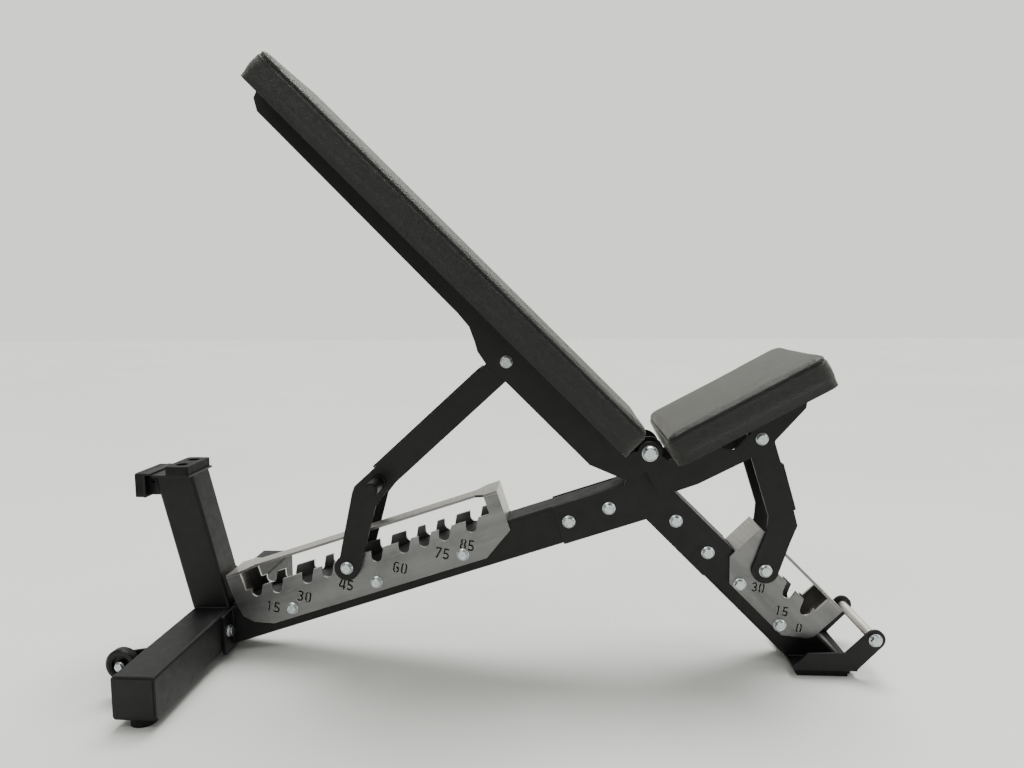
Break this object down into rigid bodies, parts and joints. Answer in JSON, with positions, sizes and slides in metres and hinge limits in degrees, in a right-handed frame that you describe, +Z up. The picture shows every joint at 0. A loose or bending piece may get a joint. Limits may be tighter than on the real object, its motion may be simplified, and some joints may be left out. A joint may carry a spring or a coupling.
{
  "type": "adjustable weight bench",
  "caption": "Weight bench whose backrest and seat each tilt on one pivot, held by struts that drop into laddered slots; wheels at the rear and a lift handle at the front.",
  "frame": {"origin": "on the floor, midway along and across the bench at rest", "axes": "+X along the bench towards the front foot, +Y across it, +Z up"},
  "size_m": [1.4342, 0.648, 1.1352],
  "materials": {
    "powder_coat": "fine satin powder coat",
    "bare_steel": "bare laser-cut steel, lightly brushed",
    "zinc": "bright zinc plate",
    "rubber": "matt moulded rubber",
    "vinyl": "grained upholstery vinyl, satin",
    "plywood": "sanded plywood",
    "plastic": "moulded plastic",
    "handle_steel": "pale satin tube"
  },
  "bodies": {
    "frame": {"rear_stabiliser": "powder_coat", "stabiliser_end_caps": "plastic", "stabiliser_feet": "rubber", "rear_post": "powder_coat", "post_bumper": "rubber", "bumper_screws": "zinc", "storage_bracket": "powder_coat", "storage_bumper": "rubber", "spine_tube": "powder_coat", "spine_flange": "powder_coat", "flange_bolts": "zinc", "front_leg": "powder_coat", "junction_plate_left": "powder_coat", "junction_plate_right": "powder_coat", "back_ladder_left": "bare_steel", "back_ladder_right": "bare_steel", "back_ladder_keeper": "bare_steel", "seat_ladder_left": "bare_steel", "seat_ladder_right": "bare_steel", "seat_ladder_keeper": "bare_steel", "frame_bolts": "zinc", "frame_nuts": "zinc", "front_foot_bracket": "powder_coat", "front_foot_pad": "rubber", "lift_handle": "handle_steel", "lift_handle_bolts": "zinc", "main_pivot_bolt": "zinc", "main_pivot_nut": "zinc", "main_pivot_spacers": "zinc", "wheel_brackets": "powder_coat", "wheel_axle_bolts": "zinc"},
    "wheel_left": {"wheel_tyre_left": "rubber", "wheel_hub_left": "plastic"},
    "wheel_right": {"wheel_tyre_right": "rubber", "wheel_hub_right": "plastic"},
    "backrest": {"back_frame_left": "powder_coat", "back_frame_right": "powder_coat", "back_cross_plates": "powder_coat", "back_board": "plywood", "back_pad": "vinyl", "back_pad_screws": "zinc", "back_strut_pivot": "zinc", "back_thrust_washers": "zinc"},
    "back_strut": {"back_strut_left": "powder_coat", "back_strut_right": "powder_coat", "back_strut_web": "powder_coat", "strut_peg_handles": "plastic", "back_strut_end_bolts": "zinc"},
    "seat": {"seat_frame_left": "powder_coat", "seat_frame_right": "powder_coat", "seat_cross_plates": "powder_coat", "seat_board": "plywood", "seat_pad": "vinyl", "seat_pad_screws": "zinc", "seat_strut_pivot": "zinc"},
    "seat_strut": {"seat_strut_left": "powder_coat", "seat_strut_right": "powder_coat", "seat_strut_web": "powder_coat", "seat_strut_end_bolts": "zinc"}
  },
  "joints": [
    {"name": "back_recline", "type": "hinge", "parent": "frame", "child": "backrest", "pos_m": [0.2853, 0, 0.418], "axis": [0, 1, 0], "range_deg": [-45, 40]},
    {"name": "back_strut_swing", "type": "hinge", "parent": "backrest", "child": "back_strut", "pos_m": [0.01854, 0, 0.58926], "axis": [0, 1, 0], "range_deg": [-58, 65]},
    {"name": "seat_tilt", "type": "hinge", "parent": "frame", "child": "seat", "pos_m": [0.2853, 0, 0.418], "axis": [0, 1, 0], "range_deg": [0, 28.5]},
    {"name": "seat_strut_swing", "type": "hinge", "parent": "seat", "child": "seat_strut", "pos_m": [0.49102, 0, 0.44508], "axis": [0, 1, 0], "range_deg": [-50.2, 0]},
    {"name": "wheel_left_spin", "type": "hinge", "parent": "frame", "child": "wheel_left", "pos_m": [-0.6586, -0.22, 0.063], "axis": [0, 1, 0], "continuous": true},
    {"name": "wheel_right_spin", "type": "hinge", "parent": "frame", "child": "wheel_right", "pos_m": [-0.6586, 0.22, 0.063], "axis": [0, 1, 0], "continuous": true}
  ],
  "couplings": [
    {"joint": "back_strut_swing", "follows": "back_recline", "ratio": -1.44},
    {"joint": "seat_strut_swing", "follows": "seat_tilt", "ratio": -1.7437}
  ]
}
